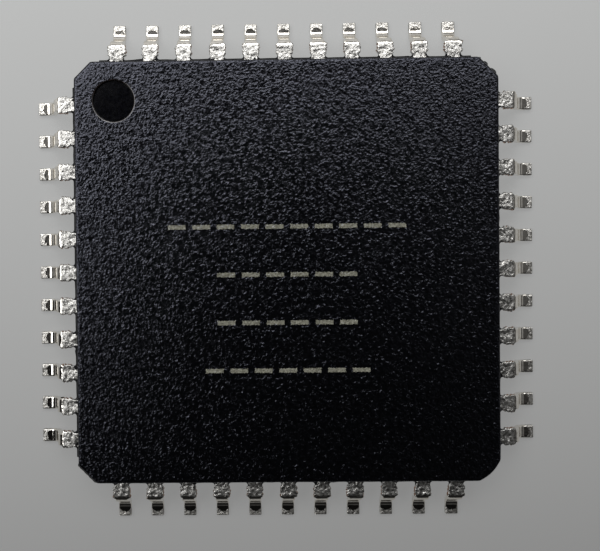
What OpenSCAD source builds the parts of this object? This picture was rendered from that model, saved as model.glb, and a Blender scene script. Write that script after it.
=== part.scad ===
// Thin quad flat package: a square moulded body with gull-wing leads on its four sides.
// Millimetres, +Z up. The origin is on the seating plane, under the middle of the body.
// Lead 1 is at the top of the left side, by the dimple, and the count runs anticlockwise from above.

/* [Moulded body] */
// Distance from the centre of the end lead in each row to the corner's side of the body
end_margin = 1.0; // [0.9:0.05:1.4]
// Thickness of the body from its underside to its top face
body_t = 1.0; // [0.95:0.05:1.4]
// Height of the underside above the seating plane
standoff = 0.10; // [0.05:0.01:0.2]
// Draft of the sides above and below the parting band, in degrees
draft = 12; // [5:1:15]
// Leg of the cut at each corner of the body
corner_cut = 0.42; // [0.3:0.01:0.5]
// Radius along the edges of the top and bottom faces
edge_r = 0.08; // [0.04:0.01:0.12]
// How far the thin web of resin between the leads stands out of the sides
web_out = 0.055; // [0.03:0.005:0.08]
// How far the web runs on past the end lead of each side
web_past = 0.24; // [0.1:0.01:0.3]
// Radius of the resin fillet between the web and each lead
web_fillet = 0.07; // [0.04:0.005:0.08]

/* [Moulding marks] */
// Diameter of the dimple that marks lead 1
dimple_d = 0.95; // [0.5:0.05:1.2]
// Depth of that dimple
dimple_depth = 0.06; // [0.02:0.01:0.12]
// Distance from the centre of the dimple to the two nearest sides
dimple_inset = 0.99; // [0.8:0.01:1.5]
// Diameter of the ejector marks in the underside
ejector_d = 1.2; // [0.6:0.1:1.6]
// Depth of the ejector marks
ejector_depth = 0.03; // [0.02:0.01:0.05]
// Distance from the centre of each ejector mark to the two nearest sides
ejector_inset = 2.0; // [1.6:0.1:2.6]
// Width of the stub of resin left where the gate was broken off
gate_w = 0.42; // [0.3:0.02:0.5]
// How far that stub stands out of the cut corner
gate_out = 0.07; // [0.03:0.01:0.1]
// Height of that stub
gate_h = 0.26; // [0.15:0.01:0.3]

/* [Leads] */
// Number of leads in the row on each side
leads_per_side = 11; // [9:2:13]
// Pitch: distance from one lead of a row to the next
lead_spacing = 0.8; // [0.7:0.05:1]
// Thickness of the lead frame
frame_t = 0.127; // [0.1:0.005:0.16]
// Distance from the side of the body to the lead tips
lead_reach = 1.0; // [0.95:0.05:1.3]
// Flat length of the shoulder outside the body
shoulder_len = 0.31; // [0.26:0.01:0.34]
// Radius of the upper bend, at mid thickness
upper_bend_r = 0.13; // [0.1:0.01:0.16]
// Radius of the heel bend, at mid thickness
heel_bend_r = 0.26; // [0.2:0.01:0.28]
// Angle through which each bend turns, in degrees
bend_turn = 74; // [70:1:84]
// Width of a lead where it leaves the body
root_w = 0.33; // [0.28:0.01:0.36]
// Width of a lead across the cut ends of the dam bar
dam_w = 0.44; // [0.38:0.01:0.5]
// Width of a lead from the upper bend to the tip
foot_w = 0.32; // [0.28:0.01:0.36]
// Distance from the side of the body to the dam bar
dam_start = 0.20; // [0.18:0.01:0.24]
// Length of the dam bar along the lead
dam_len = 0.16; // [0.08:0.01:0.18]
// Length of the slope at each end of the dam bar
dam_slope = 0.05; // [0.02:0.01:0.06]

/* [Lead frame inside the body] */
// Width of the square paddle that carries the die
paddle_w = 4.8; // [4.4:0.1:5]
// How far the paddle is set down below the leads
downset = 0.18; // [0.14:0.01:0.2]
// Gap between the paddle's edge and the bonding tips
tip_gap = 0.5; // [0.4:0.05:0.6]
// Width of a bonding tip
tip_w = 0.24; // [0.16:0.01:0.26]
// Distance from one bonding tip to the next
tip_spacing = 0.46; // [0.4:0.01:0.48]
// Straight length of each finger just inside the side of the body
root_run = 0.45; // [0.3:0.05:0.6]
// Straight length of each finger at its bonding tip
tip_run = 0.35; // [0.25:0.05:0.5]
// Width of the four tie bars
tie_w = 0.24; // [0.16:0.01:0.28]
// Length over which a tie bar steps up from the paddle
tie_step_len = 0.3; // [0.2:0.02:0.4]

/* [Die and wires] */
// Width of the square silicon die
die_w = 3.8; // [3.4:0.1:4]
// Thickness of the die
die_t = 0.25; // [0.2:0.01:0.28]
// Thickness of the adhesive under the die
attach_t = 0.025; // [0.015:0.005:0.04]
// How far the adhesive shows round the die
attach_margin = 0.06; // [0.02:0.01:0.1]
// Distance from one bond pad to the next along an edge of the die
pad_spacing = 0.32; // [0.25:0.01:0.33]
// Distance from the bond pads to the edge of the die
pad_inset = 0.12; // [0.08:0.01:0.2]
// Thickness of the bond wires
wire_d = 0.025; // [0.02:0.001:0.03]
// Height of the wire loops above the die
loop_h = 0.14; // [0.1:0.01:0.16]
// Width of the ball under each wire
ball_d = 0.07; // [0.05:0.005:0.09]
// Height of that ball
ball_h = 0.02; // [0.01:0.005:0.025]
// Distance from the end of a bonding tip to the end of its wire
stitch_inset = 0.14; // [0.1:0.01:0.2]

/* [Hidden] */
$fn = 72;
// Steps in the rounding of an edge of the body
edge_steps = 3;
// Steps in each bend of a lead
bend_steps = 8;
// Sides of a bond wire
wire_sides = 6;
// How far a cutting shape runs past what it cuts
past = 0.5;

lead_count = 4 * leads_per_side;
body_w = (leads_per_side - 1) * lead_spacing + 2 * end_margin;
half = body_w / 2;
body_top = standoff + body_t;
frame_low = standoff + (body_t - frame_t) / 2;
frame_top = frame_low + frame_t;
frame_mid = frame_low + frame_t / 2;
// Distance from the middle to a cut corner, along the diagonal
corner_out = (body_w - corner_cut) / sqrt(2);
row_half = (leads_per_side - 1) / 2 * lead_spacing + root_w / 2;

tip_in = paddle_w / 2 + tip_gap;
paddle_top = frame_top - downset;
die_low = paddle_top + attach_t;
die_top = die_low + die_t;

// The formed part of a lead: the two bends, the straight leg between them and the foot
leg_drop = frame_mid - frame_t / 2 - (upper_bend_r + heel_bend_r) * (1 - cos(bend_turn));
leg_len = leg_drop / sin(bend_turn);
upper_centre = [half + shoulder_len, frame_mid - upper_bend_r];
leg_start = upper_centre + upper_bend_r * [sin(bend_turn), cos(bend_turn)];
leg_end = leg_start + leg_len * [cos(bend_turn), -sin(bend_turn)];
heel_centre = leg_end + heel_bend_r * [sin(bend_turn), cos(bend_turn)];
tip_out = half + lead_reach;

function two_digits(n) = n < 10 ? str("0", n) : str(n);
function lead_name(n) = str("lead_", two_digits(n));

// Places along a side: 0 is west, 1 south, 2 east and 3 north, each seen with its leads pointing to +Y
function side_of(n) = floor((n - 1) / leads_per_side);
function slot_of(n) = (n - 1) % leads_per_side;
function from_middle(slot) = slot - (leads_per_side - 1) / 2;
module on_side(side) {
    rotate(90 + 90 * side) children();
}

// ---- Moulded body ----

// Right-hand half of the body's section: the underside's edge, the parting band and the top edge
function face_half(wide, height) = wide - height * tan(draft);
function edge_arc(wide, height) =
    let (flat = face_half(wide, height) - edge_r * tan((90 - draft) / 2))
    [for (i = [0:edge_steps])
        let (a = draft + (90 - draft) * i / edge_steps)
        [flat + edge_r * cos(a), height - edge_r + edge_r * sin(a)]];
function upper_edge(wide) = [for (p = edge_arc(wide, body_top - frame_top)) [p[0], frame_top + p[1]]];
function lower_edge(wide) = [for (p = edge_arc(wide, frame_low - standoff)) [p[0], frame_low - p[1]]];
function backwards(points) = [for (i = [len(points) - 1:-1:0]) points[i]];
function right_side(wide) = concat(
    backwards(lower_edge(wide)), [[wide, frame_low], [wide, frame_top]], upper_edge(wide)
);
function body_section(wide) = concat(
    right_side(wide), [for (p = backwards(right_side(wide))) [-p[0], p[1]]]
);

module slab(wide) {
    rotate([90, 0, 0])
        linear_extrude(height = 2 * body_w, center = true)
            polygon(body_section(wide));
}

module body_block() {
    intersection() {
        slab(half);
        rotate(90) slab(half);
        rotate(45) slab(corner_out);
        rotate(135) slab(corner_out);
    }
}

// One fillet of resin in the corner between the web and the right-hand flank of a lead
module web_corner() {
    difference() {
        square(web_fillet);
        translate([web_fillet, web_fillet]) circle(web_fillet);
    }
}

module web() {
    long = row_half + web_past;
    on_frame() {
        translate([-long, half - past]) square([2 * long, past + web_out]);
        for (slot = [0:leads_per_side - 1], flank = [0, 1])
            translate([from_middle(slot) * lead_spacing, half + web_out])
                mirror([flank, 0]) translate([root_w / 2, 0]) web_corner();
    }
}

module on_frame() {
    translate([0, 0, frame_low]) linear_extrude(height = frame_t) children();
}

module dimple() {
    translate([dimple_inset - half, half - dimple_inset, body_top - dimple_depth])
        cylinder(d = dimple_d, h = dimple_depth + past);
}

module ejector_marks() {
    for (turn = [0, 180])
        rotate(turn)
            translate([half - ejector_inset, half - ejector_inset, standoff - past])
                cylinder(d = ejector_d, h = past + ejector_depth);
}

// The gate was at the corner between the north and the east side, above the lead frame
module gate_stub() {
    rotate(45)
        translate([corner_out - past, -gate_w / 2, frame_top])
            cube([past + gate_out, gate_w, gate_h]);
}

module moulded_body() {
    color([0.06, 0.06, 0.07])
        difference() {
            union() {
                body_block();
                for (side = [0:3]) on_side(side) web();
                gate_stub();
            }
            dimple();
            ejector_marks();
            for (n = [1:lead_count]) lead(n);
            die_paddle();
            die_attach();
            silicon_die();
            for (side = [0:3]) bond_wires(side);
        }
}

// ---- Leads ----

// Points on a round bend about a centre, from angle a to angle b
function bend(centre, r, a, b) =
    [for (i = [0:bend_steps])
        let (angle = a + (b - a) * i / bend_steps)
        centre + r * [cos(angle), sin(angle)]];

// Side view of a lead, with its tip to the right: along its upper face, then back along its lower face
module lead_profile() {
    upper_in = upper_bend_r - frame_t / 2;
    upper_out = upper_bend_r + frame_t / 2;
    heel_in = heel_bend_r - frame_t / 2;
    heel_out = heel_bend_r + frame_t / 2;
    polygon(concat(
        [[tip_in, frame_top]],
        bend(upper_centre, upper_out, 90, 90 - bend_turn),
        bend(heel_centre, heel_in, 270 - bend_turn, 270),
        [[tip_out, frame_t], [tip_out, 0]],
        bend(heel_centre, heel_out, 270, 270 - bend_turn),
        bend(upper_centre, upper_in, 90 - bend_turn, 90),
        [[tip_in, frame_low]]
    ));
}

// Stations along a lead: distance from the middle, sideways place and half the width
function lead_stations(k) =
    let (root_x = k * lead_spacing, tip_x = k * tip_spacing, dam = half + dam_start)
    [
        [tip_in, tip_x, tip_w / 2],
        [tip_in + tip_run, tip_x, tip_w / 2],
        [half - root_run, root_x, root_w / 2],
        [dam - dam_slope, root_x, root_w / 2],
        [dam, root_x, dam_w / 2],
        [dam + dam_len, root_x, dam_w / 2],
        [dam + dam_len + dam_slope, root_x, foot_w / 2],
        [tip_out, root_x, foot_w / 2]
    ];

// Outline of a lead from above, with its tip towards +Y
module lead_outline(k) {
    stations = lead_stations(k);
    polygon(concat(
        [for (s = stations) [s[1] + s[2], s[0]]],
        [for (s = backwards(stations)) [s[1] - s[2], s[0]]]
    ));
}

module lead(n) {
    k = from_middle(slot_of(n));
    color([0.72, 0.72, 0.70])
        on_side(side_of(n))
            intersection() {
                linear_extrude(height = body_top) lead_outline(-k);
                rotate([90, 0, 90])
                    linear_extrude(height = body_w, center = true) lead_profile();
            }
}

// ---- Paddle, die and wires ----

// Side view of a tie bar along the diagonal, from the paddle up to the cut corner
module tie_profile() {
    start = paddle_w / 2;
    step = paddle_w / sqrt(2) + tie_w;
    polygon([
        [start, paddle_top - frame_t], [step, paddle_top - frame_t], [step + tie_step_len, frame_low],
        [corner_out, frame_low], [corner_out, frame_top], [step + tie_step_len, frame_top],
        [step, paddle_top], [start, paddle_top]
    ]);
}

module die_paddle() {
    color([0.75, 0.50, 0.33]) {
        translate([0, 0, paddle_top - frame_t / 2])
            cube([paddle_w, paddle_w, frame_t], center = true);
        for (corner = [0:3])
            rotate(45 + 90 * corner)
                rotate([90, 0, 0])
                    linear_extrude(height = tie_w, center = true) tie_profile();
    }
}

module die_attach() {
    wide = die_w + 2 * attach_margin;
    color([0.78, 0.78, 0.76])
        translate([0, 0, paddle_top + attach_t / 2])
            cube([wide, wide, attach_t], center = true);
}

module silicon_die() {
    color([0.36, 0.38, 0.44])
        translate([0, 0, die_low + die_t / 2])
            cube([die_w, die_w, die_t], center = true);
}

// Centre line of a wire, as [share of its span, height]: up from the ball, over and down to the lead
wire_low = wire_d / 2 * cos(180 / wire_sides);
neck_h = 0.6 * loop_h;
wire_shape = [
    [0, die_top + ball_h / 2],
    [0, die_top + neck_h],
    [0.06, die_top + loop_h],
    [0.45, die_top + loop_h],
    [0.75, die_top + neck_h - (die_top - frame_top) / 2],
    [0.95, frame_top + wire_low],
    [1, frame_top + wire_low]
];

// Middle of a step of the path, as the direction in which it runs
function unit(v) = v / norm(v);
function path_direction(path, i) = unit(
    (i < len(path) - 1 ? unit(path[i + 1] - path[i]) : [0, 0, 0])
    + (i > 0 ? unit(path[i] - path[i - 1]) : [0, 0, 0])
);

// A tube with flat sides, swept along a path that stays in one upright plane with the given side vector
module swept_wire(path, side) {
    count = len(path);
    rings = [for (i = [0:count - 1])
        let (up = cross(side, path_direction(path, i)))
        for (j = [0:wire_sides - 1])
            let (a = 360 * (j + 0.5) / wire_sides)
            path[i] + wire_d / 2 * (cos(a) * up * stretch(path, i) + sin(a) * side)];
    polyhedron(
        points = rings,
        faces = concat(
            [[for (j = [0:wire_sides - 1]) j]],
            [for (i = [0:count - 2], j = [0:wire_sides - 1])
                let (next = (j + 1) % wire_sides)
                [i * wire_sides + j, (i + 1) * wire_sides + j,
                    (i + 1) * wire_sides + next, i * wire_sides + next]],
            [[for (j = [wire_sides - 1:-1:0]) (count - 1) * wire_sides + j]]
        )
    );
}

// A mitred ring is longer in the plane of the bend
function stretch(path, i) =
    i == 0 || i == len(path) - 1 ? 1 : 1 / (path_direction(path, i) * unit(path[i + 1] - path[i]));

module bond_wire(k) {
    pad = [k * pad_spacing, die_w / 2 - pad_inset];
    stitch = [k * tip_spacing, tip_in + stitch_inset];
    run = stitch - pad;
    path = [for (p = wire_shape) [pad[0] + p[0] * run[0], pad[1] + p[0] * run[1], p[1]]];
    translate([pad[0], pad[1], die_top])
        rotate(atan2(run[1], run[0])) cylinder(d = ball_d, h = ball_h, $fn = 8);
    swept_wire(path, unit([-run[1], run[0], 0]));
}

module bond_wires(side) {
    color([0.86, 0.68, 0.26])
        on_side(side)
            for (slot = [0:leads_per_side - 1]) bond_wire(from_middle(slot));
}

moulded_body();
die_paddle();
die_attach();
silicon_die();
bond_wires(0);  // bond_wires_west
bond_wires(1);  // bond_wires_south
bond_wires(2);  // bond_wires_east
bond_wires(3);  // bond_wires_north
for (n = [1:lead_count])
    lead(n);
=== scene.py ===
"""Looks of a thin quad flat package: a pebbled epoxy body with 44 tin-plated gull-wing leads.

Sizes here are in millimetres, and MM turns them into metres. The shape follows part.scad: lead 1 is at
the top of the west side, by the dimple, and the count runs anticlockwise seen from above.
"""

import math

import bpy
import numpy as np
from mathutils import Matrix, Vector, geometry, noise


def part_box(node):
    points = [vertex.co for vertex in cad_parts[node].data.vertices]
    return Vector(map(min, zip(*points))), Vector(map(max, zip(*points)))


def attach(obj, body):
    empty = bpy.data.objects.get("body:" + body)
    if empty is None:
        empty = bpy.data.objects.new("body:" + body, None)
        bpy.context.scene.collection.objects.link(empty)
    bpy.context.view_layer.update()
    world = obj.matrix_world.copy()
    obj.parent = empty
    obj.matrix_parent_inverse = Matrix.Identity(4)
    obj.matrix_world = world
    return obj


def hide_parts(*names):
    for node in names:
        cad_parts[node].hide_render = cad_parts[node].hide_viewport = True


SEED = 44

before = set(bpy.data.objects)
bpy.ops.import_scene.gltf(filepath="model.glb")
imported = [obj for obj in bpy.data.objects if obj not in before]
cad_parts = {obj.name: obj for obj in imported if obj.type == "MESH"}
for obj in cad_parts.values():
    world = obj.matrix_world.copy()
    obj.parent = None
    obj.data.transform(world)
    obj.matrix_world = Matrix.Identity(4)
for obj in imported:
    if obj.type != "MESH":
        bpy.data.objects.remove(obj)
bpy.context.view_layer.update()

MM = 0.001
TINY = 1e-4
SIDES = ("west", "south", "east", "north")
body_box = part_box("moulded_body")
lead_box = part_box("lead_01")

# ---- Body: its heights and width come from the frame ----
STANDOFF = body_box[0].z / MM
BODY_TOP = body_box[1].z / MM
FRAME_TOP = lead_box[1].z / MM
FRAME_T = 0.127
FRAME_LOW = FRAME_TOP - FRAME_T
TIP_OUT = -lead_box[0].x / MM
LEAD_REACH = 1.0
HALF = TIP_OUT - LEAD_REACH
DRAFT = math.radians(9)
EDGE_R = 0.045
EDGE_STEPS = 3
BODY_CREASE = math.radians(62)
# Rings of points down the side wall: shares of its height, from the rounded edge to the parting band
WALL_SHARES = (0.3, 0.38, 0.6, 0.8, 1.0)

# ---- Sunk marks: the dimple in the top and two ejector marks in the underside ----
DIMPLE_INSET = 0.99
DIMPLE_RIM = 0.507
DIMPLE_DEPTH = 0.06
DIMPLE_BEVEL = 0.955
EJECTOR_INSET = 2.0
EJECTOR_R = 0.6
EJECTOR_DEPTH = 0.03
# Rings of points from the rim inwards: share of the radius, and height over the face
DIMPLE_RINGS = (
    (1.0, 0.0), (0.99, -0.001), (DIMPLE_BEVEL, -0.0075), (0.95, -0.016), (0.94, -0.050),
    (0.935, -DIMPLE_DEPTH), (0.9, -DIMPLE_DEPTH), (0.6, -DIMPLE_DEPTH), (0.3, -DIMPLE_DEPTH),
)
EJECTOR_RINGS = (
    (1.0, 0.0), (0.985, 0.006), (0.97, EJECTOR_DEPTH), (0.6, EJECTOR_DEPTH), (0.3, EJECTOR_DEPTH),
)
RING_STEP = 0.06
RING_FEWEST = 10
RIM_SHARE = 0.999

# ---- Web of resin between the leads ----
WEB_OUT = 0.055
WEB_PAST = 0.24
WEB_FILLET = 0.07
WEB_FILLET_SPREAD = (0.7, 1.3)
WEB_WOBBLE = 0.003
WEB_KNOTS = 60
WEB_LUMPS = 3
WEB_LUMP_OUT = (0.01, 0.035)
WEB_LUMP_LEN = 0.04
WEB_EDGE = 0.006
WEB_EDGE_HEIGHT = 0.008

# ---- Corners: north-east, with the broken gate, then south-east, south-west and north-west ----
CUT_AT_PARTING = (0.47, 0.53, 0.44, 0.42)
CUT_AT_TOP = (0.44, 0.46, 0.42, 0.37)
BULGE = (0.0, 0.06, 0.0, 0.0)
CORNER_RAG = (0.0, 0.030, 0.012, 0.012)
CORNER_RAG_POINTS = 13
CORNER_FLASH = (0.0, 0.0, 0.070, 0.040)
FLASH_RAG = (-0.006, 0.010)
FLASH_POINTS = 19
GATE_OUT = 0.045
GATE_BELOW = 0.01
GATE_ABOVE = 0.26
GATE_SPREAD = (0.7, 1.2)
GATE_SHAPE = (0.1, 1.0, 0.3, 0.1, 0.9, 1.4, 1.3, 0.1, 0.0, 1.2, 1.6, 1.5, 1.4, 0.2, 0.1)
CORNER_STEPS = 24
CORNER_EASE = 0.06
CORNER_GAP = 0.004

# ---- Leads ----
LEADS_PER_SIDE = 11
SPACING = 0.8
SHOULDER = 0.35
UPPER_R = 0.13
HEEL_R = 0.24
TURN = math.radians(74)
ROOT_W = 0.33
FOOT_W = 0.30
FOOT_LEN = 0.28
FOOT_LIFT = math.radians(0.4)
LIFT_SPREAD = (0.6, 1.4)
LEAD_HIDDEN = 0.04
LEAD_CREASE = math.radians(60)
SHOULDER_STEPS = 18
UPPER_STEPS = 10
LEG_STEPS = 3
HEEL_STEPS = 12
FOOT_STEPS = 11
TOP_POINTS = 13
LOW_PARTS = 5
EDGE_ROUND = 0.022
EDGE_ANGLES = (65, 35, 8)
TIP_BEVEL_LEN = 0.012
TIP_BEVEL = 0.010

# ---- Cut ends of the dam bar on the shoulder ----
DAM_START = 0.19
DAM_LEN = 0.20
DAM_W = 0.40
DAM_SPREAD = 0.008
DAM_RISE = 0.08
DAM_FALL = 0.02
DAM_PAST = 0.01
TORN_DEPTH = 0.030
TORN_PLAIN = 0.3
TORN_COARSE = 32
TORN_FINE = 75

# ---- Plating: its drawn and scuffed zones, and the size and depth of its wrinkles ----
SCUFF_LEN = 0.105
SCUFF_DOME = 0.09
SCUFF_RAG = 0.015
SCUFF_BLUR = 0.01
SCUFF_ZONE = (0.01, 0.05)
DRAWN_ZONE = (-0.02, 0.06)
DRAWN_BLUR = 0.07
ROOT_ZONE = (-0.03, 0.02)
WRINKLE = 0.014
WRINKLE_FINE = 0.05
WRINKLE_WIDE = 0.13
WIDE_SHARE = 0.9
DRAWN_CALM = 0.96
SCUFF_SHARE = 0.45
NOISE_REACH = 90
TORN_REACH = 50

# ---- Along a side: the ends of the row of leads and of the web, and points beside each lead ----
ROW_END = (LEADS_PER_SIDE - 1) / 2 * SPACING + ROOT_W / 2
SIDE_END = ROW_END + WEB_PAST + 0.02
FLANKS = (0.0, 0.012, 0.027, 0.045, 0.07, 0.1)

# ---- Surface grain of the moulded faces ----
GRAIN_STEP = 0.038
GRAIN_STEP_BELOW = 0.13
GRAIN_JITTER = 0.25
GRAIN_SIZE = 0.078
GRAIN_BAND = 0.42
GRAIN_HEIGHT = 0.0036
GRAIN_SPREAD = 0.45
GRAIN_PATCH = 0.14
GRAIN_PATCH_BAND = 0.5
GRAIN_FADE = 0.03
MARK_FADE = 0.04
MARK_FADE_START = 0.99
FIELD_COUNT = 512
ROW_SHARE = math.sqrt(0.75)
BORDER_MARGIN = 0.6
MARK_MARGIN = 0.5
MERGE_DISTANCE = 1e-7
PEBBLE_SIZE = 0.045
PEBBLE_HEIGHT = 0.010
PEBBLE_PATCH = 0.11
PEBBLE_PATCH_HEIGHTS = (0.5, 2.0)

# ---- Marking: rows of plain dashes, etched by a laser ----
MARK_TOP = 1.05
MARK_ROW_STEP = 1.12
MARK_DASHES = (10, 6, 6, 7)
MARK_DASH_STEP = 0.57
MARK_DASH_LEN = 0.41
MARK_DASH_W = 0.10
MARK_FUZZ = 0.012
MARK_DARK = (0.10, 0.097, 0.075)
MARK_PALE = (0.25, 0.245, 0.20)

# ---- Colours of the resin and the metals ----
EPOXY_DARK = (0.0006, 0.0006, 0.0010)
EPOXY_PALE = (0.0034, 0.0036, 0.0056)
# Painted glints: the pebbles' colour runs from dark between them to pale on their crests, a speckle of
# painted highlights
GLINT_SPECKLE_DARK = (0.0002, 0.0002, 0.0002)
GLINT_SPECKLE_PALE = (0.0010, 0.0011, 0.0015)
LIP_DARK = (0.003, 0.002, 0.002)
LIP_PALE = (0.022, 0.014, 0.012)
MOULD_SHEEN = (0.80, 0.83, 1.0, 1.0)
TIN_DULL = (0.22, 0.215, 0.20)
TIN_WORN = (0.60, 0.59, 0.57)
# Drawn tin: pale grey with a beige tint that is a painted reflection of a warm surrounding
TIN_DRAWN_WITH_REFLECTION_DARK = (0.72, 0.675, 0.60)
TIN_DRAWN_WITH_REFLECTION_PALE = (0.90, 0.875, 0.82)
COPPER_DARK = (0.30, 0.15, 0.09)
COPPER_PALE = (0.62, 0.42, 0.30)

# ---- Bands of noise that colours and roughness run over ----
NOISE_BAND = (0.3, 0.7)
TONE_BAND = (0.35, 0.65)
EPOXY_BAND = (0.4, 0.75)
GLINT_SPECKLE_BAND = (0.42, 0.68)
GRAIN_ROUGH_BAND = (0.40, 0.62)
TIN_DULL_BAND = (0.36, 0.64)

# ---- Finishes: sizes of their noise, roughness from one end of the band to the other, and relief ----
FILLER_SIZE = 0.045
GRAIN_ROUGH = (0.22, 0.14)
GRAIN_SPECULAR = 0.46
FUZZ_SIZE = 0.03
BURN_SIZE = 0.035
LIP_SIZE = 0.05
LIP_ROUGH = (0.07, 0.13)
LIP_RELIEF = (0.3, 0.002)
LIP_SPECULAR = 1.0
TIN_TINT_SIZE = 0.06
TIN_GLOSS_SIZE = 0.06
TIN_CRUMPLE_SIZE = 0.035
TIN_SCUFF_SIZE = 0.05
TIN_DULL_ROUGH = (0.28, 0.44)
TIN_CLEAN_ROUGH = (0.05, 0.10)
TIN_RELIEF = 0.010
TIN_CALM_RELIEF = 0.06
TIN_TIP_CLEAN = 0.25
COPPER_TINT_SIZE = 0.05
COPPER_STREAK_SIZE = 0.02
COPPER_STREAKS = (1.0, 1.0, 0.2)
COPPER_ROUGH = (0.30, 0.55)
COPPER_RELIEF = (0.6, 0.003)
INNER_RELIEF = (0.3, 0.002)
DEFAULT_SPECULAR = 0.5
# Specular level, size of the gloss patches, roughness, and the relief's size, detail, strength and height
SMOOTH_MOULDS = {
    "mould_side": (DEFAULT_SPECULAR, 0.12, (0.26, 0.42), (0.03, 3.0, 0.6, 0.003)),
    "mould_polished": (0.3, 0.1, (0.09, 0.15), (0.05, 2.0, 0.3, 0.0006)),
    "mould_flash": (0.15, 0.06, (0.6, 0.8), (0.06, 2.0, 0.5, 0.004)),
}
# Dark and pale colour, metallic, roughness and size of the variation, for what the resin hides
INNER_MATERIALS = {
    "frame_copper": ((0.55, 0.30, 0.19), (0.75, 0.46, 0.32), 1.0, (0.3, 0.45), 0.3),
    "die_adhesive": ((0.50, 0.50, 0.48), (0.66, 0.66, 0.64), 0.3, (0.5, 0.65), 0.1),
    "silicon": ((0.10, 0.11, 0.15), (0.17, 0.18, 0.23), 0.6, (0.12, 0.25), 0.5),
    "gold_wire": ((0.85, 0.60, 0.22), (0.95, 0.72, 0.34), 1.0, (0.18, 0.28), 0.1),
}
INNER_NODES = {"die_paddle": "frame_copper", "die_attach": "die_adhesive", "silicon_die": "silicon"}

# ---- Numbers of the materials on the faces, and sockets of a colour mix ----
SIDE_FACE, GRAIN_FACE, POLISHED_FACE, FLASH_FACE, LIP_FACE = range(5)
TIN_FACE, COPPER_FACE = range(2)
MIX_FACTOR, MIX_FIRST, MIX_SECOND, MIX_RESULT = 0, 6, 7, 2

# ---- Camera: height and place over the part, tilt and framing of the photograph ----
CAMERA_PLACE = (-0.742, 0.632, 20.777)
CAMERA_TILT = (-0.785, 0.732, -0.586)
CAMERA_LENS = 50.7
CAMERA_SENSOR = 36
CAMERA_SHIFT = (0.0928, -0.0322)
CAMERA_NEAR = 0.0005
CAMERA_FAR = 2.0

# ---- Light: three soft boxes in an arc from the west to the north, and a dim room ----
KEY_ARC = {"west": (-80, 0.24), "north_west": (-30, 0.30), "north": (18, 0.27)}
KEY_ELEVATION = 54
KEY_DISTANCE = 0.075
KEY_SIZE = (0.050, 0.030)
# The room by height, the sine of the elevation: on the lamps' side, to the east and to the south
SKY_LAMPS = (
    (0.50, 0.65), (0.58, 0.08), (0.64, 0.04), (0.80, 0.004),
    (0.925, 0.004), (0.94, 0.14), (0.966, 0.14), (0.972, 0.004),
)
SKY_EAST = (
    (0.38, 0.36), (0.46, 0.04), (0.60, 0.02), (0.68, 0.25), (0.86, 0.25),
    (0.90, 0.09), (0.962, 0.09), (0.975, 0.004),
)
SKY_SOUTH = (
    (0.20, 0.08), (0.30, 0.01), (0.74, 0.01), (0.78, 0.055), (0.86, 0.055), (0.90, 0.004),
)
EAST = (1.0, -0.1, 0.0)
SOUTH = (-0.15, -1.0, 0.0)
SKY_TURN = (-0.05, 0.2)

# ---- Floor: pale, with painted shade to the south near the part for the light's falloff and the part's shadow, and evenly seen in part ----
FLOOR_HALF = 0.4
FLOOR_CORNERS = ((-1, -1), (1, -1), (1, 1), (-1, 1))
FLOOR_PAINTED_FALLOFF = (-14.0, 112.0, 0.0)
FLOOR_PAINTED_SHADE = (0.262, 0.262, 0.260)
FLOOR_PALE = (0.53, 0.535, 0.53)
FLOOR_ROUGH = 0.7
FLOOR_SPECULAR = 0.2
FLOOR_EVEN_SHARE = 0.75
FLOOR_NEAR = 0.010
FLOOR_FAR = 0.030


# ---- Small helpers ----

def turned(points, side):
    """Points of the side whose leads point to +Y, carried to side 0 west, 1 south, 2 east or 3 north."""
    angle = math.radians(90 + 90 * side)
    c = round(math.cos(angle))
    s = round(math.sin(angle))
    p = np.asarray(points, float)
    return np.column_stack([c * p[:, 0] - s * p[:, 1], s * p[:, 0] + c * p[:, 1]])


def smooth_step(x, low, high):
    t = np.clip((np.asarray(x, float) - low) / (high - low), 0, 1)
    return t * t * (3 - 2 * t)


def from_centre(xy, centre):
    return np.hypot(xy[:, 0] - centre[0], xy[:, 1] - centre[1])


def mesh_object(name, verts, faces, kinds, materials, crease):
    """A smooth mesh object from points in millimetres; kinds gives the number of each face's material."""
    mesh = bpy.data.meshes.new(name)
    points = [tuple(float(c) * MM for c in v) for v in verts]
    mesh.from_pydata(points, [], faces)
    mesh.validate()
    mesh.shade_smooth()
    mesh.set_sharp_from_angle(angle=crease)
    mesh.update()
    for material in materials:
        mesh.materials.append(material)
    mesh.polygons.foreach_set("material_index", np.array(kinds, np.int32))
    piece = bpy.data.objects.new(name, mesh)
    bpy.context.scene.collection.objects.link(piece)
    return piece


def grain_field(rng, width, size, spread):
    """A square of smooth noise whose bumps are about size across, with a standard deviation of 1."""
    white = np.fft.fft2(rng.standard_normal((FIELD_COUNT, FIELD_COUNT)))
    freq = np.fft.fftfreq(FIELD_COUNT, width / FIELD_COUNT)
    radius = np.hypot(*np.meshgrid(freq, freq))
    field = np.real(np.fft.ifft2(white * np.exp(-(((radius * size - 1) / spread) ** 2))))
    return field / field.std()


def sample(field, width, xy):
    """Bilinear values of a wrapped square field, centred on the origin, at the points xy."""
    count = len(field)
    p = (np.asarray(xy) / width + 0.5) * count
    low = np.floor(p).astype(int)
    f = p - low
    x0, y0 = low[:, 0] % count, low[:, 1] % count
    x1, y1 = (x0 + 1) % count, (y0 + 1) % count
    a = field[y0, x0] * (1 - f[:, 0]) + field[y0, x1] * f[:, 0]
    b = field[y1, x0] * (1 - f[:, 0]) + field[y1, x1] * f[:, 0]
    return a * (1 - f[:, 1]) + b * f[:, 1]


# ---- Nodes ----

def new_material(name):
    material = bpy.data.materials.new(name)
    material.use_nodes = True
    return material, material.node_tree, material.node_tree.nodes["Principled BSDF"]


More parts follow.
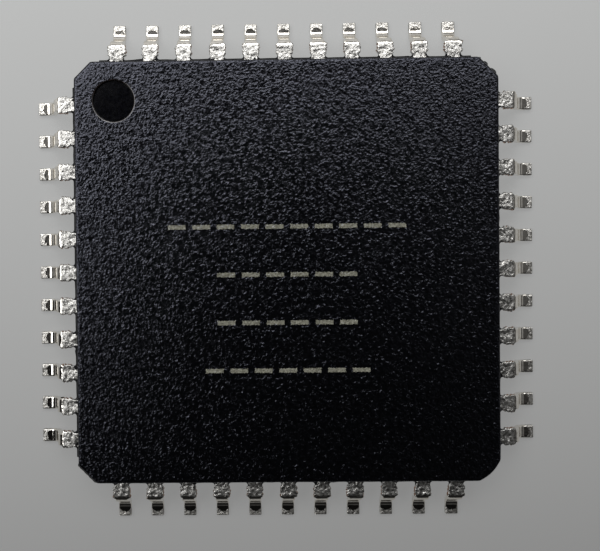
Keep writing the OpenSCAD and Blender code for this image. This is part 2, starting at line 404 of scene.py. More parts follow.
def add(tree, kind, links=None, **values):
    """A node with its settings; links gives input name or number: (node, output) or a plain value."""
    node = tree.nodes.new(kind)
    for key, value in values.items():
        setattr(node, key, value)
    for key, value in (links or {}).items():
        if isinstance(value, tuple) and isinstance(value[0], bpy.types.Node):
            tree.links.new(value[0].outputs[value[1]], node.inputs[key])
        else:
            node.inputs[key].default_value = value
    return node


def math_node(tree, operation, a, b=None):
    links = {0: a}
    if b is not None:
        links[1] = b
    return add(tree, "ShaderNodeMath", links, operation=operation)


def compare(tree, value, middle, room):
    """1 where value is within room of middle, and 0 elsewhere."""
    return add(tree, "ShaderNodeMath", {0: value, 1: middle, 2: room}, operation="COMPARE")


def object_noise(tree, size, detail=2.0, stretch=None):
    """Noise whose features are about size millimetres across, in the object's own coordinates."""
    place = add(tree, "ShaderNodeTexCoord")
    vector = (place, "Object")
    if stretch:
        shape = add(tree, "ShaderNodeMapping", {"Vector": vector, "Scale": stretch})
        vector = (shape, "Vector")
    links = {"Vector": vector, "Scale": 1 / (size * MM), "Detail": detail}
    return add(tree, "ShaderNodeTexNoise", links)


def ramp(tree, source, stops):
    """A colour ramp through (position, colour) stops."""
    node = add(tree, "ShaderNodeValToRGB", {"Fac": source})
    items = node.color_ramp.elements
    while len(items) < len(stops):
        items.new(0.5)
    for item, (position, colour) in zip(items, stops):
        item.position = position
        item.color = (*colour, 1)
    return node


def tones(tree, source, band, dark, pale):
    """A noise as a colour: dark up to the low end of the band, and pale from its high end."""
    return ramp(tree, (source, "Fac"), list(zip(band, (dark, pale))))


def map_range(tree, source, low, high, to_low, to_high):
    links = {"Value": source, 1: low, 2: high, 3: to_low, 4: to_high}
    return add(tree, "ShaderNodeMapRange", links)


def spread_noise(tree, source, to_low, to_high):
    """Noise over its usual band, spread from one value to another."""
    return map_range(tree, (source, "Fac"), *NOISE_BAND, to_low, to_high)


def mix_colours(tree, factor, first, second):
    links = {MIX_FACTOR: factor, MIX_FIRST: first, MIX_SECOND: second}
    return add(tree, "ShaderNodeMix", links, data_type="RGBA")


def bump(tree, source, strength, height):
    """Bump of that height in millimetres."""
    links = {"Height": (source, "Fac"), "Strength": strength, "Distance": height * MM}
    return add(tree, "ShaderNodeBump", links)


def finish(tree, shader, colour, rough, relief):
    """Gives the shader its colour, from (node, output), its roughness and its bump."""
    tree.links.new(colour[0].outputs[colour[1]], shader.inputs["Base Color"])
    tree.links.new(rough.outputs[0], shader.inputs["Roughness"])
    tree.links.new(relief.outputs["Normal"], shader.inputs["Normal"])


# ---- Materials ----

def smooth_mould(name):
    """Blue-black epoxy with finer and paler filler grains, whose gloss varies in patches."""
    specular, patch, roughness, (size, detail, strength, height) = SMOOTH_MOULDS[name]
    material, tree, shader = new_material(name)
    shader.inputs["Specular IOR Level"].default_value = specular
    colour = tones(tree, object_noise(tree, FILLER_SIZE, 3.0), EPOXY_BAND, EPOXY_DARK, EPOXY_PALE)
    rough = spread_noise(tree, object_noise(tree, patch), *roughness)
    relief = bump(tree, object_noise(tree, size, detail), strength, height)
    finish(tree, shader, (colour, "Color"), rough, relief)
    return material


def lip_mould():
    """The smooth bevel round the dimple."""
    material, tree, shader = new_material("mould_lip")
    shader.inputs["Specular IOR Level"].default_value = LIP_SPECULAR
    worn = object_noise(tree, LIP_SIZE, 3.0)
    colour = tones(tree, worn, TONE_BAND, LIP_DARK, LIP_PALE)
    rough = spread_noise(tree, worn, *LIP_ROUGH)
    finish(tree, shader, (colour, "Color"), rough, bump(tree, worn, *LIP_RELIEF))
    return material


def off_middle(tree, share, step, edge):
    """Distance from the middle of a repeated step, given the share of the step, with a fuzzy edge."""
    off = math_node(tree, "SUBTRACT", share, 0.5)
    off = math_node(tree, "ABSOLUTE", (off, 0))
    off = math_node(tree, "MULTIPLY", (off, 0), step * MM)
    return math_node(tree, "ADD", (off, 0), (edge, 0))


def dash_row(tree, parts, row, edge, number, dashes):
    """1 in the columns of one row's dashes, which are centred on the part."""
    along = math_node(tree, "DIVIDE", (parts, "X"), MARK_DASH_STEP * MM)
    along = math_node(tree, "ADD", (along, 0), dashes / 2)
    inside = compare(tree, (along, 0), dashes / 2, dashes / 2)
    here = compare(tree, (row, 0), float(number), 0.1)
    share = math_node(tree, "FRACT", (along, 0))
    off = off_middle(tree, (share, 0), MARK_DASH_STEP, edge)
    dash = math_node(tree, "LESS_THAN", (off, 0), MARK_DASH_LEN / 2 * MM)
    part = math_node(tree, "MULTIPLY", (inside, 0), (here, 0))
    return math_node(tree, "MULTIPLY", (part, 0), (dash, 0))


def dash_mask(tree):
    """1 inside the rows of plain laser-etched dashes on the top face, and 0 outside them."""
    place = add(tree, "ShaderNodeTexCoord")
    parts = add(tree, "ShaderNodeSeparateXYZ", {0: (place, "Object")})
    edge = spread_noise(tree, object_noise(tree, FUZZ_SIZE, 1.0), -MARK_FUZZ * MM, MARK_FUZZ * MM)
    down = math_node(tree, "SUBTRACT", (MARK_TOP + MARK_ROW_STEP / 2) * MM, (parts, "Y"))
    row_place = math_node(tree, "DIVIDE", (down, 0), MARK_ROW_STEP * MM)
    row = math_node(tree, "FLOOR", (row_place, 0))
    across = math_node(tree, "FRACT", (row_place, 0))
    mask = None
    for number, dashes in enumerate(MARK_DASHES):
        part = dash_row(tree, parts, row, edge, number, dashes)
        mask = part if mask is None else math_node(tree, "MAXIMUM", (mask, 0), (part, 0))
    high = off_middle(tree, (across, 0), MARK_ROW_STEP, edge)
    thin = math_node(tree, "LESS_THAN", (high, 0), MARK_DASH_W / 2 * MM)
    mask = math_node(tree, "MULTIPLY", (mask, 0), (thin, 0))
    upper_face = math_node(tree, "GREATER_THAN", (parts, "Z"), FRAME_TOP * MM)
    return math_node(tree, "MULTIPLY", (mask, 0), (upper_face, 0))


def grained_mould():
    """The pebbled faces, with the etched dashes on the upper one. Their colour carries painted glints:
    pale on the pebbles' crests and dark between them.
    """
    material, tree, shader = new_material("mould_grain")
    shader.inputs["Specular Tint"].default_value = MOULD_SHEEN
    shader.inputs["Specular IOR Level"].default_value = GRAIN_SPECULAR
    pebbles = object_noise(tree, PEBBLE_SIZE, 1.0)
    # Painted glints: the resin's colour follows the pebbles, pale on their crests and dark between them
    bare = tones(tree, pebbles, GLINT_SPECKLE_BAND, GLINT_SPECKLE_DARK, GLINT_SPECKLE_PALE)
    burnt = tones(tree, object_noise(tree, BURN_SIZE, 3.0), TONE_BAND, MARK_DARK, MARK_PALE)
    colour = mix_colours(tree, (dash_mask(tree), 0), (bare, "Color"), (burnt, "Color"))
    rough = map_range(tree, (pebbles, "Fac"), *GRAIN_ROUGH_BAND, *GRAIN_ROUGH)
    relief = bump(tree, pebbles, 1.0, PEBBLE_HEIGHT)
    patches = object_noise(tree, PEBBLE_PATCH, 1.0)
    heights = [share * PEBBLE_HEIGHT * MM for share in PEBBLE_PATCH_HEIGHTS]
    height = map_range(tree, (patches, "Fac"), *TONE_BAND, *heights)
    tree.links.new(height.outputs[0], relief.inputs["Distance"])
    finish(tree, shader, (colour, MIX_RESULT), rough, relief)
    return material


def tin_zones(tree):
    """Two masks of a lead: 1 from the upper bend outwards, and 1 from that bend to the scuffed tip."""
    place = add(tree, "ShaderNodeTexCoord")
    parts = add(tree, "ShaderNodeSeparateXYZ", {0: (place, "Object")})
    bend = HALF + SHOULDER
    drawn = map_range(tree, (parts, "Y"), bend * MM, (bend + DRAWN_BLUR) * MM, 0.0, 1.0)
    links = {0: (parts, "X"), 1: SPACING / 2 * MM, 2: -SPACING / 2 * MM}
    across = add(tree, "ShaderNodeMath", links, operation="WRAP")
    across = math_node(tree, "DIVIDE", (across, 0), FOOT_W / 2 * MM)
    dome = math_node(tree, "POWER", (across, 0), 2.0)
    dome = math_node(tree, "MULTIPLY", (dome, 0), SCUFF_DOME * MM)
    ragged = spread_noise(tree, object_noise(tree, TIN_SCUFF_SIZE), -SCUFF_RAG * MM, SCUFF_RAG * MM)
    out = math_node(tree, "ADD", (parts, "Y"), (dome, 0))
    out = math_node(tree, "ADD", (out, 0), (ragged, 0))
    edge = TIP_OUT - SCUFF_LEN
    edge_start, edge_end = (edge - SCUFF_BLUR) * MM, (edge + SCUFF_BLUR) * MM
    scuffed = map_range(tree, (out, 0), edge_start, edge_end, 0.0, 1.0)
    return drawn, math_node(tree, "SUBTRACT", (drawn, 0), (scuffed, 0))


def tin_plate():
    """Satin tin: dull and crumpled on the shoulder, drawn smooth past it, and scuffed at the tip. Past
    the shoulder its colour carries a beige tint, a painted reflection of a warm surrounding.
    """
    material, tree, shader = new_material("tin_plate")
    shader.inputs["Metallic"].default_value = 1.0
    drawn, calm = tin_zones(tree)
    tint = object_noise(tree, TIN_TINT_SIZE, 4.0)
    dull = tones(tree, tint, TIN_DULL_BAND, TIN_DULL, TIN_WORN)
    # Drawn tin's colour: its own pale grey with a beige tint painted in as a reflection
    drawn_with_reflection = tones(tree, tint, NOISE_BAND, TIN_DRAWN_WITH_REFLECTION_DARK, TIN_DRAWN_WITH_REFLECTION_PALE)
    cleaned = map_range(tree, (calm, 0), 0.0, 1.0, TIN_TIP_CLEAN, 1.0)
    bright = math_node(tree, "MULTIPLY", (cleaned, 0), (drawn, 0))
    colour = mix_colours(tree, (bright, 0), (dull, "Color"), (drawn_with_reflection, "Color"))
    gloss = object_noise(tree, TIN_GLOSS_SIZE, 3.0)
    dull_rough = spread_noise(tree, gloss, *TIN_DULL_ROUGH)
    clean_rough = spread_noise(tree, gloss, *TIN_CLEAN_ROUGH)
    rough = map_range(tree, (calm, 0), 0.0, 1.0, (dull_rough, 0), (clean_rough, 0))
    relief = bump(tree, object_noise(tree, TIN_CRUMPLE_SIZE, 3.0), 1.0, TIN_RELIEF)
    strength = map_range(tree, (calm, 0), 0.0, 1.0, 1.0, TIN_CALM_RELIEF)
    tree.links.new(strength.outputs[0], relief.inputs["Strength"])
    finish(tree, shader, (colour, MIX_RESULT), rough, relief)
    return material


def cut_copper():
    """Base metal laid bare where a lead was cut after plating."""
    material, tree, shader = new_material("cut_copper")
    shader.inputs["Metallic"].default_value = 1.0
    tint = object_noise(tree, COPPER_TINT_SIZE, 3.0)
    colour = tones(tree, tint, TONE_BAND, COPPER_DARK, COPPER_PALE)
    streaks = object_noise(tree, COPPER_STREAK_SIZE, stretch=COPPER_STREAKS)
    rough = spread_noise(tree, streaks, *COPPER_ROUGH)
    finish(tree, shader, (colour, "Color"), rough, bump(tree, streaks, *COPPER_RELIEF))
    return material


def inner_material(name):
    """A plain material with a little variation, for what the resin hides."""
    dark, pale, metallic, roughness, size = INNER_MATERIALS[name]
    material, tree, shader = new_material(name)
    shader.inputs["Metallic"].default_value = metallic
    tint = object_noise(tree, size)
    colour = tones(tree, tint, NOISE_BAND, dark, pale)
    rough = spread_noise(tree, tint, *roughness)
    finish(tree, shader, (colour, "Color"), rough, bump(tree, tint, *INNER_RELIEF))
    return material


# ---- Side of the moulded body ----

def lead_places():
    """Places of the leads along a side, from its middle."""
    return [(slot - (LEADS_PER_SIDE - 1) / 2) * SPACING for slot in range(LEADS_PER_SIDE)]


def side_stations():
    """Places along a side where every ring of the body has a point: close together by the leads."""
    places = {-SIDE_END, SIDE_END, -ROW_END - WEB_PAST, ROW_END + WEB_PAST}
    for middle in lead_places():
        places.add(middle)
        for sign in (-1, 1):
            places.add(middle + sign * SPACING / 2)
            places.update(middle + sign * (ROOT_W / 2 + flank) for flank in FLANKS)
    places = [p for p in places if abs(p) <= SIDE_END]
    return np.array(sorted(set(round(p, 5) for p in places)))


def corner_points(half, cut_leg, bulge, ragged):
    """The cut corner after a side, from the side's own line to the next one's, with eased ends."""
    a = half - cut_leg
    chord = np.linspace((a, half), (half, a), CORNER_STEPS + 1)
    t = np.linspace(0, 1, CORNER_STEPS + 1)
    outward = bulge * np.sin(math.pi * t) + np.interp(t, np.linspace(0, 1, len(ragged)), ragged)
    path = chord + outward[:, None] / math.sqrt(2)
    path = np.vstack([(a - CORNER_EASE, half), path, (half, a - CORNER_EASE)])
    eased = path.copy()
    for i in (1, 2, len(path) - 3, len(path) - 2):
        eased[i] = (path[i - 1] + 2 * path[i] + path[i + 1]) / 4
    return eased


def ring(inset, cuts, ragged, out=None):
    """One level of the body: a closed loop of points, clockwise from the west end of the north side."""
    half = HALF - inset
    stations = side_stations()
    loop = []
    for turn, side in enumerate((3, 2, 1, 0)):
        x = stations.copy()
        for sign, cut in ((-1, cuts[turn - 1]), (1, cuts[turn])):
            room = (half - cut - CORNER_EASE - CORNER_GAP - ROW_END) / (SIDE_END - ROW_END)
            far = sign * x > ROW_END
            x[far] = sign * (ROW_END + (sign * x[far] - ROW_END) * min(1, room))
        y = np.full(len(x), half) if out is None else half + out[side]
        loop.append(turned(np.column_stack([x, y]), side))
        loop.append(turned(corner_points(half, cuts[turn], BULGE[turn], ragged[turn]), side))
    return np.vstack(loop)


def web_reach(rng):
    """How far the web stands out at each place along a side: fillets by the leads, and a ragged edge."""
    x = side_stations()
    reach = np.full(len(x), WEB_OUT)
    reach += np.interp(x, np.linspace(-HALF, HALF, WEB_KNOTS), rng.normal(0, WEB_WOBBLE, WEB_KNOTS))
    for middle in lead_places():
        gap = np.abs(x - middle) - ROOT_W / 2
        near = np.clip(WEB_FILLET - gap, 0, WEB_FILLET)
        rise = WEB_FILLET - np.sqrt(WEB_FILLET ** 2 - near ** 2)
        reach += np.where(gap > -TINY, rise * rng.uniform(*WEB_FILLET_SPREAD), 0)
        reach[gap < -TINY] = 0.0
    for _ in range(WEB_LUMPS):
        place = rng.uniform(-ROW_END, ROW_END)
        lump = rng.uniform(*WEB_LUMP_OUT)
        reach += lump * np.exp(-(((x - place) / WEB_LUMP_LEN) ** 2)) * (reach > 0)
    reach[np.abs(x) > ROW_END + WEB_PAST + TINY] = 0.0
    return reach


def body_levels():
    """(inset, height) pairs from the top face down to the web, and from the web down to the underside."""
    face_inset = (BODY_TOP - FRAME_TOP) * math.tan(DRAFT)
    flat = face_inset + EDGE_R * math.tan((math.pi / 2 - DRAFT) / 2)
    upper = []
    for i in range(EDGE_STEPS + 1):
        a = math.pi / 2 - (math.pi / 2 - DRAFT) * i / EDGE_STEPS
        upper.append((flat - EDGE_R * math.cos(a), BODY_TOP - EDGE_R + EDGE_R * math.sin(a)))
    wall_inset, wall_top = upper[-1]
    for share in WALL_SHARES:
        upper.append((wall_inset * (1 - share), wall_top + (FRAME_TOP - wall_top) * share))
    middle = (BODY_TOP + STANDOFF) / 2
    lower = [(inset, 2 * middle - z) for inset, z in reversed(upper)]
    return upper, lower


def ragged_corners(rng, z):
    """How far the corners stand out at a height: the gate's stub, and flash at the parting band."""
    ragged = [np.zeros(2) for _ in SIDES]
    if FRAME_LOW - GATE_BELOW < z < FRAME_TOP + GATE_ABOVE:
        ragged[0] = GATE_OUT * np.array(GATE_SHAPE) * rng.uniform(*GATE_SPREAD, len(GATE_SHAPE))
    for corner in (1, 2, 3):
        if abs(z - (FRAME_LOW + FRAME_TOP) / 2) < FRAME_T:
            ragged[corner] = rng.uniform(0.0, CORNER_RAG[corner], CORNER_RAG_POINTS)
        if FRAME_LOW < z < FRAME_TOP and CORNER_FLASH[corner] > 0:
            ragged[corner] = CORNER_FLASH[corner] + rng.uniform(*FLASH_RAG, FLASH_POINTS)
    return ragged


def side_rings(rng):
    """Rings of points down the side of the body, and how many of them lie above the web."""
    upper, lower = body_levels()
    reach = [web_reach(rng) for _ in SIDES]
    low, high = FRAME_LOW + WEB_EDGE, FRAME_TOP - WEB_EDGE
    levels = [(inset, z, None) for inset, z in upper]
    web = [(WEB_EDGE, high), (0.0, high - WEB_EDGE_HEIGHT), (0.0, low + WEB_EDGE_HEIGHT), (WEB_EDGE, low)]
    levels += [(0.0, z, [np.maximum(r - shrink, 0.0) for r in reach]) for shrink, z in web]
    levels += [(inset, z, None) for inset, z in lower]
    top_inset = upper[0][0]
    rings = []
    for inset, z, out in levels:
        share = inset / top_inset
        cuts = [p + (t - p) * share for p, t in zip(CUT_AT_PARTING, CUT_AT_TOP)]
        xy = ring(inset, cuts, ragged_corners(rng, z), out)
        rings.append(np.column_stack([xy, np.full(len(xy), z)]))
    return rings, len(upper)


def ring_faces(rings):
    """Quads between each ring of points and the next."""
    count = len(rings[0])
    faces = []
    for a in range(0, (len(rings) - 1) * count, count):
        b = a + count
        for i in range(count):
            j = (i + 1) % count
            faces.append((a + i, a + j, b + j, b + i))
    return faces


# ---- Top and bottom face ----

def pebble_field(rng):
    """Pebbles of uneven height across the body, with a standard deviation of 1."""
    field = grain_field(rng, 2 * HALF, GRAIN_SIZE, GRAIN_BAND)
    field *= np.exp(GRAIN_SPREAD * grain_field(rng, 2 * HALF, GRAIN_PATCH, GRAIN_PATCH_BAND))
    return field / field.std()


def border_room(xy, outline):
    """Distance from each point to the nearest side of an eight-sided outline."""
    half = np.abs(outline).max()
    x, y = np.abs(xy[:, 0]), np.abs(xy[:, 1])
    cut = (outline[:, 0] + outline[:, 1]).max()
    return np.minimum(np.minimum(half - x, half - y), (cut - x - y) / math.sqrt(2))


def add_marks(points, edges, marks, step):
    """Adds the rings of the sunk marks, and gives the height of each new point over the face."""
    heights = {}
    for (cx, cy), radius, mark_rings in marks:
        for scale, depth in mark_rings:
            around = max(RING_FEWEST, int(2 * math.pi * radius * scale / min(step, RING_STEP)))
            start = len(points)
            for i in range(around):
                a = 2 * math.pi * i / around
                heights[len(points)] = depth
                points.append((cx + radius * scale * math.cos(a), cy + radius * scale * math.sin(a)))
            edges += [(start + i, start + (i + 1) % around) for i in range(around)]
        heights[len(points)] = mark_rings[-1][1]
        points.append((cx, cy))
    return heights


def face_grid(rng, outline, marks, step):
    """An uneven triangular grid of points across a face, clear of its border and its marks."""
    rows = int(2 * HALF / (step * ROW_SHARE))
    grid = []
    for row in range(rows):
        y = (row - rows / 2) * step * ROW_SHARE
        x = (np.arange(int(2 * HALF / step)) - HALF / step + 0.5 * (row % 2)) * step
        grid.append(np.column_stack([x, np.full(len(x), y)]))
    grid = np.vstack(grid)
    grid += rng.uniform(-GRAIN_JITTER, GRAIN_JITTER, grid.shape) * step
    keep = border_room(grid, outline) > BORDER_MARGIN * step
    for centre, radius, _ in marks:
        keep &= from_centre(grid, centre) > radius + MARK_MARGIN * step
    return grid[keep]


def pebble_relief(xy, outline, marks, field):
    """Height of the pebbles at each point, fading out towards the border and the marks."""
    relief = sample(field, 2 * HALF, xy) * GRAIN_HEIGHT
    relief *= smooth_step(border_room(xy, outline), 0.0, GRAIN_FADE)
    for centre, radius, _ in marks:
        away = from_centre(xy, centre)
        relief *= smooth_step(away, radius * MARK_FADE_START, radius + MARK_FADE)
    return relief


def face_kinds(middles, marks, up):
    """Material of each triangle: grain, the lip of the dimple, or the polished floor of a mark."""
    kinds = np.full(len(middles), GRAIN_FACE, np.int32)
    for centre, radius, _ in marks:
        share = from_centre(middles, centre) / radius
        kinds[share < RIM_SHARE] = LIP_FACE if up > 0 else POLISHED_FACE
        kinds[share < DIMPLE_BEVEL] = POLISHED_FACE
    return kinds


def face_cap(rng, border, step, marks, height, up, field):
    """Points, triangles and materials of the top or bottom face, with its marks sunk into the grain."""
    outline = border[:, :2]
    count = len(outline)
    points = [tuple(p) for p in outline]
    edges = [(i, (i + 1) % count) for i in range(count)]
    heights = add_marks(points, edges, marks, step)
    points += [tuple(p) for p in face_grid(rng, outline, marks, step)]
    corners = [Vector(p) for p in points]
    flat, _, tris, source, _, _ = geometry.delaunay_2d_cdt(corners, edges, [], 1, MERGE_DISTANCE)
    xy = np.array([(p.x, p.y) for p in flat])
    z = height + pebble_relief(xy, outline, marks, field)
    for i, origins in enumerate(source):
        for origin in origins:
            z[i] += heights.get(origin, 0.0)
    tris = [tuple(t) if up > 0 else tuple(reversed(t)) for t in tris]
    kinds = face_kinds(xy[np.array(tris)].mean(axis=1), marks, up)
    border_keys = [next((o for o in origins if o < count), None) for origins in source]
    return (xy, z, border_keys), tris, kinds


def add_cap(verts, faces, cap, tris, ring_start):
    """Joins a cap to the ring that bounds it."""
    index = []
    for (x, y), height, border_key in zip(*cap):
        if border_key is None:
            index.append(len(verts))
            verts.append((x, y, height))
        else:
            index.append(ring_start + border_key)
    faces += [tuple(index[i] for i in t) for t in tris]


def ejector_marks():
    """One mark to the south-west and one to the north-east."""
    places = [sign * (HALF - EJECTOR_INSET) for sign in (-1, 1)]
    return [((place, place), EJECTOR_R, EJECTOR_RINGS) for place in places]


def build_body():
    rng = np.random.default_rng(SEED)
    rings, above_web = side_rings(rng)
    count = len(rings[0])
    verts = [tuple(p) for r in rings for p in r]
    faces = ring_faces(rings)
    kinds = np.full(len(faces), SIDE_FACE, np.int32)
    kinds[:EDGE_STEPS * count] = GRAIN_FACE
    kinds[(above_web - 1) * count:(above_web + 4) * count] = FLASH_FACE
    field = pebble_field(rng)
    dimple = ((DIMPLE_INSET - HALF, HALF - DIMPLE_INSET), DIMPLE_RIM, DIMPLE_RINGS)
    caps = (
        (0, GRAIN_STEP, [dimple], BODY_TOP, 1),
        (len(rings) - 1, GRAIN_STEP_BELOW, ejector_marks(), STANDOFF, -1),
    )
    for level, step, marks, height, up in caps:
        cap, tris, cap_kinds = face_cap(rng, rings[level], step, marks, height, up, field)
        add_cap(verts, faces, cap, tris, level * count)
        kinds = np.concatenate([kinds, cap_kinds])
    materials = [
        smooth_mould("mould_side"), grained_mould(), smooth_mould("mould_polished"),
        smooth_mould("mould_flash"), lip_mould(),
    ]
    body = mesh_object("mould_shell", verts, faces, kinds, materials, BODY_CREASE)
    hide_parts("moulded_body")
    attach(body, "root")


# ---- Leads ----

def mean_sine(first, last):
    """Mean sine of an angle that runs evenly from first to last."""
    return (math.cos(first) - math.cos(last)) / (last - first)


def foot_path(heel_out, heel_height, lift):
    """Stations from the heel, which the foot leaves at the angle lift, to the tip, where it is level."""
    run = TIP_OUT - heel_out
    path = []
    for i in range(1, FOOT_STEPS + 1):
        t = i / FOOT_STEPS if i < FOOT_STEPS else 1 - TIP_BEVEL_LEN / run
        height = heel_height + (FRAME_T / 2 - heel_height) * (1 - (1 - t) ** 2)
        path.append((heel_out + run * t, height, lift * (1 - t)))
    path.append((TIP_OUT, FRAME_T / 2, 0.0))
    return path


def lead_path(lift):
    """Stations along a lead's middle line, from inside the body to the tip: (out, height, slope)."""
    out, height = HALF - LEAD_HIDDEN, FRAME_LOW + FRAME_T / 2
    shoulder = (HALF + SHOULDER - out, 0.0, 0.0, SHOULDER_STEPS)
    upper_bend = (UPPER_R * TURN, 0.0, TURN, UPPER_STEPS)
    heel = (HEEL_R * (TURN - lift), TURN, lift, HEEL_STEPS)
    drop = height - FRAME_T / 2 - FOOT_LEN * math.sin(lift / 2)
    for length, first, last, _ in (upper_bend, heel):
        drop -= length * mean_sine(first, last)
    leg = (drop / math.sin(TURN), TURN, TURN, LEG_STEPS)
    path = [(out, height, 0.0)]
    for length, first, last, steps in (shoulder, upper_bend, leg, heel):
        for i in range(steps):
            slope = first + (last - first) * (i + 0.5) / steps
            out += length / steps * math.cos(slope)
            height -= length / steps * math.sin(slope)
            path.append((out, height, first + (last - first) * (i + 1) / steps))
    return path + foot_path(out, height, lift)


def lead_section(left, right, shrink):
    """Rounded outline of a lead across its width: (across, up) points, with the top finely divided."""
    t = FRAME_T / 2 - shrink
    r = EDGE_ROUND
    left -= shrink
    right -= shrink
    points = [(-left + r + (left + right - 2 * r) * i / (TOP_POINTS - 1), t) for i in range(TOP_POINTS)]
    for a in EDGE_ANGLES:
        points.append((right - r + r * math.cos(math.radians(a)), t - r + r * math.sin(math.radians(a))))
    points += [(right, 0.0), (right, -t + 0.5 * r), (right - 0.5 * r, -t)]
    points += [(right - (left + right) * i / LOW_PARTS, -t) for i in range(1, LOW_PARTS)]
    points += [(-left + 0.5 * r, -t), (-left, -t + 0.5 * r), (-left, 0.0)]
    for a in reversed(EDGE_ANGLES):
        points.append((-left + r - r * math.cos(math.radians(a)), t - r + r * math.sin(math.radians(a))))
    return points


def dam_edges(rng):
    """The dam bar's end on each edge of a lead: start, length, half width, and a place in the noise."""
    edges = []
    for _ in range(2):
        start = DAM_START + rng.normal(0, DAM_SPREAD)
        length = DAM_LEN + rng.normal(0, DAM_SPREAD)
        wide = DAM_W / 2 + rng.normal(0, DAM_SPREAD)
        edges.append((start, length, wide, rng.uniform(0, TORN_REACH)))
    return edges


def half_width(away, edge):
    """Half the lead's width at a distance from the body's side, with the torn end of its dam bar."""
    start, length, wide, rag = edge
    rise = smooth_step(away, start - DAM_RISE, start)
    fall = smooth_step(away, start + length, start + length + DAM_FALL)
    width = ROOT_W / 2 + (wide - ROOT_W / 2) * rise
    width = width + (FOOT_W / 2 - width) * fall
    torn = noise.noise(Vector((away * TORN_COARSE, rag, 0.0))) * TORN_DEPTH
    torn += noise.noise(Vector((away * TORN_FINE, rag, 7.0))) * TORN_DEPTH
    return width + torn * (TORN_PLAIN + (1 - TORN_PLAIN) * rise) * (1 - fall)


def wrinkle_depth(out):
    """Depth of the wrinkles along a lead: full on the shoulder, little past it, and half at the tip."""
    scuff_start = TIP_OUT - SCUFF_LEN
    drawn = smooth_step(out - HALF, *(SHOULDER + zone for zone in DRAWN_ZONE))
    scuffed = smooth_step(out, *(scuff_start + zone for zone in SCUFF_ZONE))
    return WRINKLE * (1 - DRAWN_CALM * drawn + SCUFF_SHARE * scuffed)


def lead_points(rng, across):
    """The stations of a lead, and its points, one section of them at each station."""
    left, right = dam_edges(rng)
    shift = Vector(rng.uniform(-NOISE_REACH, NOISE_REACH, 3))
    path = lead_path(FOOT_LIFT * rng.uniform(*LIFT_SPREAD))
    verts = []
    for station in path:
        out, height, slope = station
        away = out - HALF
        last = station is path[-1]
        depth = wrinkle_depth(out)
        fade = smooth_step(away, *ROOT_ZONE)
        bevel = TIP_BEVEL if last else 0.0
        section = lead_section(half_width(away, left), half_width(away, right), bevel)
        for u, v in section:
            fine = noise.noise(Vector((u / WRINKLE_FINE, away / WRINKLE_FINE, 0.0)) + shift)
            wide = noise.noise(Vector((u / WRINKLE_WIDE, away / WRINKLE_WIDE, 5.0)) + shift)
            if v > 0 and not last:
                v += (fine * depth + wide * depth * WIDE_SHARE) * fade
            verts.append((across + u, out + v * math.sin(slope), height + v * math.cos(slope)))
    return path, verts


def lead_faces(path, count):
    """Quads along a lead, its two ends, and the material of each: copper where it was cut."""
    right_flank = range(TOP_POINTS + len(EDGE_ANGLES) - 1, TOP_POINTS + len(EDGE_ANGLES) + 2)
    left_flank = range(count - len(EDGE_ANGLES) - 3, count - len(EDGE_ANGLES))
    faces = []
    kinds = []
    for i in range(len(path) - 1):
        away = (path[i][0] + path[i + 1][0]) / 2 - HALF
        cut = DAM_START - DAM_PAST < away < DAM_START + DAM_LEN + DAM_PAST
        a, b = i * count, (i + 1) * count
        for j in range(count):
            k = (j + 1) % count
            faces.append((a + j, b + j, b + k, a + k))
            flank = j in right_flank or j in left_flank
            kinds.append(COPPER_FACE if flank and cut else TIN_FACE)
    end = (len(path) - 1) * count
    faces.append(tuple(range(count)))
    faces.append(tuple(end + j for j in reversed(range(count))))
    return faces, kinds + [TIN_FACE, COPPER_FACE]


def build_lead(number, side, across, materials):
    rng = np.random.default_rng(SEED * 100 + number)
    path, verts = lead_points(rng, across)
    faces, kinds = lead_faces(path, len(verts) // len(path))
    lead = mesh_object(f"gull_lead_{number:02d}", verts, faces, kinds, materials, LEAD_CREASE)
    lead.matrix_world = Matrix.Rotation(math.radians(90 + 90 * side), 4, "Z")
    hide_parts(f"lead_{number:02d}")
    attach(lead, "root")


def build_leads():
    materials = [tin_plate(), cut_copper()]
    number = 0
    for side in range(len(SIDES)):
        for place in reversed(lead_places()):
            number += 1
            build_lead(number, side, place, materials)


# ---- Parts inside the resin ----

def dress_inner_parts():
    materials = {name: inner_material(name) for name in INNER_MATERIALS}
    dressing = dict(INNER_NODES)
    dressing.update({"bond_wires_" + side: "gold_wire" for side in SIDES})
    for node_name, material_name in dressing.items():
        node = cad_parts[node_name]
        node.data.materials.clear()
        node.data.materials.append(materials[material_name])


# ---- Stage, light and camera ----

def seen_or_mirrored(tree):
    """1 for camera, glossy and transmission rays, and 0 for the light that falls on the object."""
    path = add(tree, "ShaderNodeLightPath")
    first = math_node(tree, "MAXIMUM", (path, "Is Camera Ray"), (path, "Is Glossy Ray"))
    return math_node(tree, "MAXIMUM", (first, 0), (path, "Is Transmission Ray"))


def floor_colour_with_painted_shade(tree):
    """Painted shade: dark to the south of the part and pale to the north, as the light falls off and the
    part's shadow falls, and pale all round further off.
    """
    place = add(tree, "ShaderNodeTexCoord")
    # Painted shade: the colour falls off to the south like the light, and darkens near the part where its
    # shadow falls
    links = {0: (place, "Object"), 1: FLOOR_PAINTED_FALLOFF}
    run = add(tree, "ShaderNodeVectorMath", links, operation="DOT_PRODUCT")
    shade = map_range(tree, (run, "Value"), -1.0, 1.0, 0.0, 1.0)
    away = add(tree, "ShaderNodeVectorMath", {0: (place, "Object")}, operation="LENGTH")
    far = map_range(tree, (away, "Value"), FLOOR_NEAR, FLOOR_FAR, 0.0, 1.0)
    level = math_node(tree, "MAXIMUM", (shade, 0), (far, 0))
    return ramp(tree, (level, 0), [(0.0, FLOOR_PAINTED_SHADE), (1.0, FLOOR_PALE)])


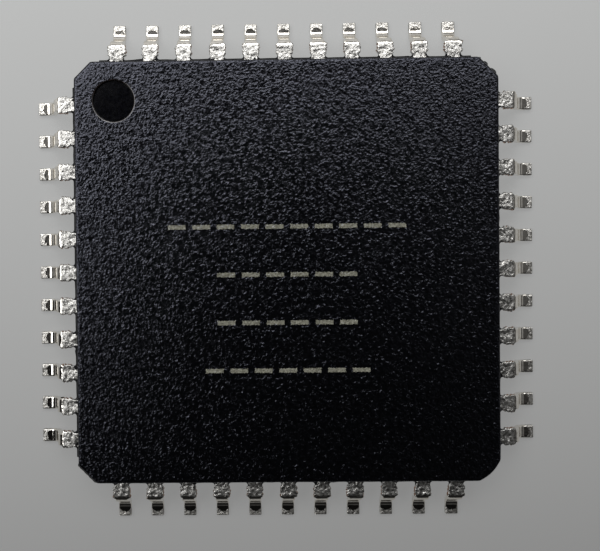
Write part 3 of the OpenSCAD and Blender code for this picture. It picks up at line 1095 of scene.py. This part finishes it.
def build_floor():
    """A pale floor, with painted shade to the south of the part in its colour. Part of what the camera
    and the metal see of it is an even glow, painted light for a soft shadow.
    """
    material, tree, shader = new_material("floor")
    shader.inputs["Roughness"].default_value = FLOOR_ROUGH
    shader.inputs["Specular IOR Level"].default_value = FLOOR_SPECULAR
    colour = floor_colour_with_painted_shade(tree)
    tree.links.new(colour.outputs["Color"], shader.inputs["Base Color"])
    glow = add(tree, "ShaderNodeEmission", {"Color": (colour, "Color"), "Strength": 1.0})
    share = math_node(tree, "MULTIPLY", (seen_or_mirrored(tree), 0), FLOOR_EVEN_SHARE)
    mix = add(tree, "ShaderNodeMixShader", {0: (share, 0), 1: (shader, 0), 2: (glow, 0)})
    tree.links.new(mix.outputs[0], tree.nodes["Material Output"].inputs["Surface"])
    mesh = bpy.data.meshes.new("floor")
    corners = [(x * FLOOR_HALF, y * FLOOR_HALF, 0) for x, y in FLOOR_CORNERS]
    mesh.from_pydata(corners, [], [(0, 1, 2, 3)])
    mesh.materials.append(material)
    floor = bpy.data.objects.new("floor", mesh)
    bpy.context.scene.collection.objects.link(floor)


def area_light(name, azimuth, elevation, distance, size, level):
    """A soft box aimed at the part. Azimuth is clockwise from +Y; level is its light on the floor."""
    a, e = math.radians(azimuth), math.radians(elevation)
    aim = Vector((math.sin(a) * math.cos(e), math.cos(a) * math.cos(e), math.sin(e)))
    lamp = bpy.data.lights.new(name, "AREA")
    lamp.shape = "RECTANGLE"
    lamp.size, lamp.size_y = size
    lamp.energy = level * math.pi ** 2 * distance ** 2 / math.sin(e)
    soft_box = bpy.data.objects.new(name, lamp)
    soft_box.location = aim * distance
    soft_box.rotation_euler = (-aim * distance).to_track_quat("-Z", "Y").to_euler()
    soft_box.visible_camera = False
    bpy.context.scene.collection.objects.link(soft_box)


def build_lights():
    for name, (azimuth, level) in KEY_ARC.items():
        area_light("key_" + name, azimuth, KEY_ELEVATION, KEY_DISTANCE, KEY_SIZE, level)


def sky_band(tree, parts, heights):
    """Grey levels by height."""
    return ramp(tree, (parts, "Z"), [(height, (shade,) * 3) for height, shade in heights])


def build_world():
    """A dim room, dark overhead and pale round the horizon, that differs with height and direction."""
    world = bpy.data.worlds.new("world")
    bpy.context.scene.world = world
    world.use_nodes = True
    tree = world.node_tree
    place = add(tree, "ShaderNodeTexCoord")
    parts = add(tree, "ShaderNodeSeparateXYZ", {0: (place, "Generated")})
    level = (sky_band(tree, parts, SKY_LAMPS), "Color")
    for heights, direction in ((SKY_EAST, EAST), (SKY_SOUTH, SOUTH)):
        other = (sky_band(tree, parts, heights), "Color")
        links = {0: (place, "Generated"), 1: direction}
        across = add(tree, "ShaderNodeVectorMath", links, operation="DOT_PRODUCT")
        side = map_range(tree, (across, "Value"), *SKY_TURN, 0.0, 1.0)
        level = (mix_colours(tree, (side, 0), level, other), MIX_RESULT)
    sky = tree.nodes["Background"]
    tree.links.new(level[0].outputs[level[1]], sky.inputs["Color"])
    sky.inputs["Strength"].default_value = 1.0


def build_camera():
    data = bpy.data.cameras.new("camera")
    data.sensor_width = CAMERA_SENSOR
    data.lens = CAMERA_LENS
    data.shift_x, data.shift_y = CAMERA_SHIFT
    data.clip_start = CAMERA_NEAR
    data.clip_end = CAMERA_FAR
    camera = bpy.data.objects.new("camera", data)
    camera.location = [c * MM for c in CAMERA_PLACE]
    camera.rotation_euler = [math.radians(a) for a in CAMERA_TILT]
    bpy.context.scene.collection.objects.link(camera)
    bpy.context.scene.camera = camera


bpy.context.scene.view_settings.view_transform = "Standard"
build_camera()
build_world()
build_lights()
build_floor()
build_body()
build_leads()
dress_inner_parts()
